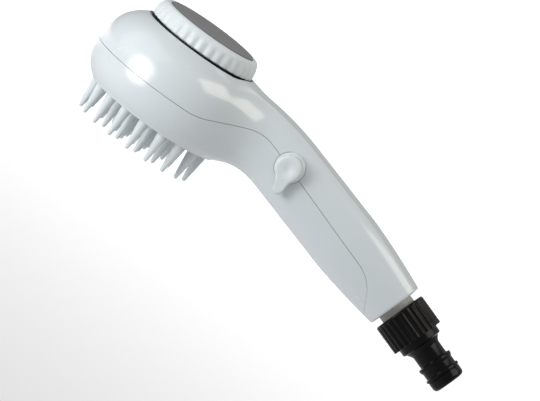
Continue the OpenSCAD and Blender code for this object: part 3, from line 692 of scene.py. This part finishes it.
def lever_form():
    angles, steps = 128, 22
    spokes = [2 * pi * k / angles for k in range(angles + 1)]
    reach = [lever_reach(a) for a in spokes]
    rows = []
    for share, rise in LEVER_SIDE:
        rows.append([(share * r * cos(a), share * r * sin(a), lever_foot + rise)
                     for a, r in zip(spokes, reach)])
    for k in range(steps + 1):
        fraction = 1 - (1 - (k / steps)) ** 1.6 if k else 0.0
        row = []
        for a, r in zip(spokes, reach):
            away = r * (1 - fraction)
            x, y = away * cos(a), away * sin(a)
            inset = min(r - away, LEVER_ROUND)
            drop = LEVER_ROUND - (LEVER_ROUND ** 2 - (LEVER_ROUND - inset) ** 2) ** 0.5
            dish = DISH_DEEP * (1 - ease(((x - 0.6) ** 2 / 30 + y * y / 20) ** 0.5))
            fall = TAIL_FALL * ease((x - 3.5) / 9)
            row.append((x, y, lever_top - drop - float(dish) - float(fall)))
        rows.append(row)
    bm = bmesh.new()
    sheet(bm, rows)
    bmesh.ops.remove_doubles(bm, verts=bm.verts, dist=WELD)
    bmesh.ops.holes_fill(bm, edges=[e for e in bm.edges if e.is_boundary], sides=0)
    bmesh.ops.recalc_face_normals(bm, faces=bm.faces)
    rest = Matrix.Rotation(radians(LEVER_REST - 90), 3, "Z")
    bmesh.ops.rotate(bm, cent=(0, 0, 0), matrix=rest, verts=bm.verts)
    place_on_valve(bm)
    return bm


new_piece("teardrop_lever", lever_form(), satin_abs, "lever", "side_lever", sharp=60)

# ---- Bristle pad --------------------------------------------------------------

PAD_Z = 0.9             # pad's surface above the face rim
PAD_TOP_Z = 4.4         # its back
PAD_R = FACE_R - 0.3
PAD_LIP_R = 36.1        # lip behind the casing's rim
PAD_EDGE = 0.3          # broken edge of its face
BRISTLE_LEN = 16.7
BRISTLE_R = 3.0         # radius where it leaves the pad
TIP_R = 1.05
ROOT_FILLET = 0.15
TAPER_POWER = 0.94      # under 1, a bristle is slightly full in its middle
OUTER_RING_R = 31.5
# Share of the outer ring's radius, count and first angle of each ring of bristles
BRISTLE_RINGS = ((0, 1, 0), (1 / 3, 6, 0), (2 / 3, 12, 15), (1, 18, -86))
TIP_DOME = 1.0          # longer bristles at the middle
JETS = ((15.5, 6, 30), (25.8, 12, 0))   # radius, count and first angle of each ring of holes
JET_R = 1.3
JET_DEPTH = 8           # deeper than the pad is thick


def bristle_outline(length):
    tip_z = PAD_Z - length
    tip = [(TIP_R * sin(turn), tip_z + TIP_R * (1 - cos(turn))) for turn in quarter(6)]
    root = [(BRISTLE_R + ROOT_FILLET * (1 - cos(turn)), PAD_Z - ROOT_FILLET * (1 - sin(turn)))
            for turn in quarter(4)]
    swell = [(TIP_R + (BRISTLE_R - TIP_R) * t ** TAPER_POWER,
              tip_z + TIP_R + (length - TIP_R - ROOT_FILLET) * t) for t in (0.2, 0.4, 0.6, 0.8)]
    return tip + swell + root


def bristle_pad_form():
    bm = revolve([(0, PAD_Z), (PAD_R - PAD_EDGE, PAD_Z), (PAD_R, PAD_Z + PAD_EDGE),
                  (PAD_R, INNER_RIM_Z), (PAD_LIP_R, INNER_RIM_Z), (PAD_LIP_R, PAD_TOP_Z),
                  (0, PAD_TOP_Z)], 96, closed=False)
    for share, count, first in BRISTLE_RINGS:
        length = BRISTLE_LEN + TIP_DOME * (1 - share ** 2)
        for i in range(count):
            bristle = revolve(bristle_outline(length), 28, closed=False)
            move = (Matrix.Rotation(radians(first + 360 * i / count), 4, "Z")
                    @ Matrix.Translation((share * OUTER_RING_R, 0, 0)))
            bmesh.ops.transform(bristle, matrix=move, verts=bristle.verts)
            mesh = bpy.data.meshes.new("bristle")
            bristle.to_mesh(mesh)
            bristle.free()
            bm.from_mesh(mesh)
            bpy.data.meshes.remove(mesh)
    return bm


def jet_tool():
    bm = bmesh.new()
    for radius, count, first in JETS:
        for i in range(count):
            hole = bmesh.ops.create_cone(bm, cap_ends=True, segments=20, radius1=JET_R,
                                         radius2=JET_R, depth=JET_DEPTH)
            turn = Matrix.Rotation(radians(first + 360 * i / count), 4, "Z")
            bmesh.ops.transform(bm, matrix=turn @ Matrix.Translation((radius, 0, 2)),
                                verts=hole["verts"])
    return bm


pad = new_piece("silicone_bristle_pad", bristle_pad_form(), silicone, "casing", "bristle_pad",
                sharp=60)
cut(pad, jet_tool())

# ---- Hose adaptor -------------------------------------------------------------

STUB_GAP = 3.2          # stub that shows between grip and nut
NUT_R = 13.6
NUT_LEN = 15.8
SPIGOT_R = 8.7
WAY_R = 5.0             # bore of the water way
THREAD_R = 10.4
SOCKET_DEPTH = 12.2     # threaded socket inside the nut
RIBS = 24
RIB_DEEP = 0.65         # valleys between the nut's ribs


def place_on_hose(bm):
    """Turns +Z along the water way, 0 at the grip's end face."""
    turn = (Matrix.Translation((REACH, 0, END_Z))
            @ Matrix.Rotation(radians(90 + HOSE_TILT), 4, "Y"))
    bmesh.ops.transform(bm, matrix=turn, verts=bm.verts)


def adaptor_form():
    nut_end = STUB_GAP + NUT_LEN
    collar_r = NUT_R - 2.7
    collar_end = nut_end + 3.5
    throat = SPIGOT_R - 1.25
    land = SPIGOT_R - 0.4
    catch_z = nut_end + 13.5    # rib that the coupling's balls hold
    seal_z = catch_z + 6.3      # ring that closes the seal's groove
    spigot_z = seal_z + 2
    tip = seal_z + 7

    def valley(turn, radius, z):
        """Depth between the nut's ribs, which run out at its back edge and its end face."""
        if radius < collar_r + 0.1 or z > nut_end + 0.1:
            return 0
        wave = (0.5 + 0.5 * cos(turn * RIBS)) ** 2.2
        start = float(ease((z - STUB_GAP - 0.5) / 1.2))
        return RIB_DEEP * wave * start * float(ease((radius - collar_r) / (NUT_R - collar_r)))

    bm = revolve(rounded([
        (WAY_R, STUB_GAP + SOCKET_DEPTH),
        (THREAD_R, STUB_GAP + SOCKET_DEPTH),
        (THREAD_R, STUB_GAP + 0.1),
        (THREAD_R + 0.5, STUB_GAP),
        (NUT_R, STUB_GAP, 1.0),
        (NUT_R, STUB_GAP + 3),
        (NUT_R, nut_end - 3),
        (NUT_R, nut_end, 0.5),
        (collar_r, nut_end, 0.15),
        (collar_r, collar_end, 0.8),
        (throat + 1.9, collar_end + 0.4, 0.5),
        (throat, collar_end + 3, 3),
        (throat, catch_z - 0.4, 0.3),
        (SPIGOT_R + 0.35, catch_z, 0.25),
        (SPIGOT_R + 0.35, catch_z + 1.4, 0.3),
        (land, catch_z + 2.8, 0.6),
        (land, seal_z - 0.4, 0.25),
        (SPIGOT_R + 0.5, seal_z, 0.35),
        (SPIGOT_R + 0.5, seal_z + 1.4, 0.35),
        (land, seal_z + 1.7, 0.15),
        (SPIGOT_R, spigot_z, 0.15),
        (SPIGOT_R - 0.1, tip, 2.2),
        (WAY_R + 0.4, tip),
        (WAY_R, tip - 0.4),
    ], 5), RIBS * 12)
    squeeze(bm, valley)
    place_on_hose(bm)
    return bm


new_piece("ribbed_hose_adaptor", adaptor_form(), black_pp, "casing", "hose_adaptor",
          sharp=45)

# ---- Return spring, one fixed mesh here; the real one shortens as the button goes down ---

SPRING_WELD = 0.000001  # metres between loose corners of the coils' faces


def spring_form():
    """The spring's own coils, as one joined mesh."""
    bm = bmesh.new()
    bm.from_mesh(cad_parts["return_spring"].data)
    bmesh.ops.remove_doubles(bm, verts=bm.verts, dist=SPRING_WELD)
    bmesh.ops.scale(bm, vec=(1 / MM, 1 / MM, 1 / MM), verts=bm.verts)
    return bm


coil = new_piece("spring_coil", spring_form(), spring_wire, "casing", "return_spring",
                 sharp=60)
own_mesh(coil)

# ---- Finishes of the carried-over pieces --------------------------------------

FINISHES = {
    satin_abs: ["lever_bezel"],
    soft_grip: ["thumb_pad"],
    white_abs: ["spray_plate", "water_chamber", "soap_tank", "button_core", "plunger_stem",
                "valve_housing", "valve_gland"],
    grey_acetal: ["valve_spool", "inlet_stub"],
    nitrile: ["chamber_seal", "tank_seal", "cap_gasket", "neck_gasket", "button_seal", "stopper",
              "spool_seals", "inlet_washer", "head_hose", "supply_hose"],
    zinc_steel: ["casing_screws"],
}
for finish, names in FINISHES.items():
    for name in names:
        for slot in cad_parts[name].material_slots:
            slot.material = finish

# ---- Floor, light and camera, with the floor and the lights in metres ---------

FLOOR_Z = -0.5          # the sprayer hangs well above the floor
FLOOR_SIZE = 60         # wide enough to fill the picture to its far edge


def plain_floor():
    bm = bmesh.new()
    bmesh.ops.create_grid(bm, x_segments=1, y_segments=1, size=FLOOR_SIZE)
    bmesh.ops.translate(bm, vec=(0, 0, FLOOR_Z), verts=bm.verts)
    mesh = bpy.data.meshes.new("floor")
    bm.to_mesh(mesh)
    bm.free()
    floor = bpy.data.objects.new("floor", mesh)
    bpy.context.collection.objects.link(floor)
    # Matte paper sweep: an even pale field with soft shadows
    mesh.materials.append(moulded("matte_paper", "#f4f4f5", 0.9, 2.0, 0.0))


plain_floor()

VIEW_LIFT = 7.6         # camera's height above the horizon, in degrees
VIEW_TURN = 4.0         # and its turn towards the hose end
VIEW_ROLL = 36.0        # turn of the picture
LENS = 340.0            # long, because the view is nearly parallel
SENSOR = 36.0
PICTURE_WIDTH = 540
PX_PER_MM = 2.05        # scale of the picture at the sprayer
AIM = Vector((71.4, 0, 1.5))    # middle of the picture

level = Matrix.Rotation(radians(VIEW_TURN), 3, "Z") @ Matrix.Rotation(radians(-VIEW_LIFT), 3, "X")
forward = level @ Vector((0, 1, 0))
rolled = Matrix.Rotation(radians(-VIEW_ROLL), 3, forward) @ level
right, upward = rolled @ Vector((1, 0, 0)), rolled @ Vector((0, 0, 1))


def add_camera():
    data = bpy.data.cameras.new("camera")
    data.lens, data.sensor_width = LENS, SENSOR
    camera = bpy.data.objects.new("camera", data)
    bpy.context.collection.objects.link(camera)
    distance = LENS / SENSOR * PICTURE_WIDTH / PX_PER_MM
    turn = Matrix((right, upward, -forward)).transposed().to_4x4()
    camera.matrix_world = Matrix.Translation((AIM - forward * distance) * MM) @ turn
    bpy.context.scene.camera = camera


def add_softbox(name, towards, distance, width, height, power, tint="#ffffff", round_box=False,
                target=AIM * MM, spread=180):
    """Area light in a direction from a target, which it faces."""
    data = bpy.data.lights.new(name, "AREA")
    data.shape = "ELLIPSE" if round_box else "RECTANGLE"
    data.size, data.size_y = width, height
    data.energy = power
    data.color = srgb(tint)[:3]
    data.spread = radians(spread)
    box = bpy.data.objects.new(name, data)
    bpy.context.collection.objects.link(box)
    direction = Vector(towards).normalized()
    box.location = target + direction * distance
    box.rotation_euler = direction.to_track_quat("Z", "Y").to_euler()


def add_world():
    """Even white light from the room."""
    world = bpy.data.worlds.new("white_studio")
    world.use_nodes = True
    background = world.node_tree.nodes["Background"]
    background.inputs["Color"].default_value = srgb("#fafafa")
    background.inputs["Strength"].default_value = 0.44
    bpy.context.scene.world = world


add_camera()

# Round key beside the lens: three nested discs make its glow on the head soft at the edge
HEAD = Vector((0, 0, 20)) * MM
KEY = (-0.64, -0.765, -0.04)
for name, distance, size, power in (("key_core", 0.44, 0.17, 0.26),
                                    ("key_middle", 0.445, 0.235, 0.38),
                                    ("key_halo", 0.45, 0.32, 0.56)):
    add_softbox(name, KEY, distance, size, size, power, round_box=True, target=HEAD)
# Warm overhead box, whose reflection is the bright wedge on the neck
NECK = Vector((28, -24, 30)) * MM
add_softbox("overhead_right", (0.633, -0.174, 0.754), 1.0, 0.8, 0.5, 3.6, tint="#fff9ec",
            target=NECK)
# Large soft wall on the left, for the broad light over the head and the grip's side
add_softbox("left_wall", (-0.8, -0.35, 0.45), 1.5, 1.8, 1.8, 7.0)
# High light on the floor behind the sprayer only, which whitens the top of the picture
add_softbox("sweep_light", (0, 0, 1), 5.0, 20.0, 14.0, 1000, target=Vector((0, 9.4, FLOOR_Z)),
            spread=80)
add_world()
bpy.context.scene.view_settings.view_transform = "Standard"
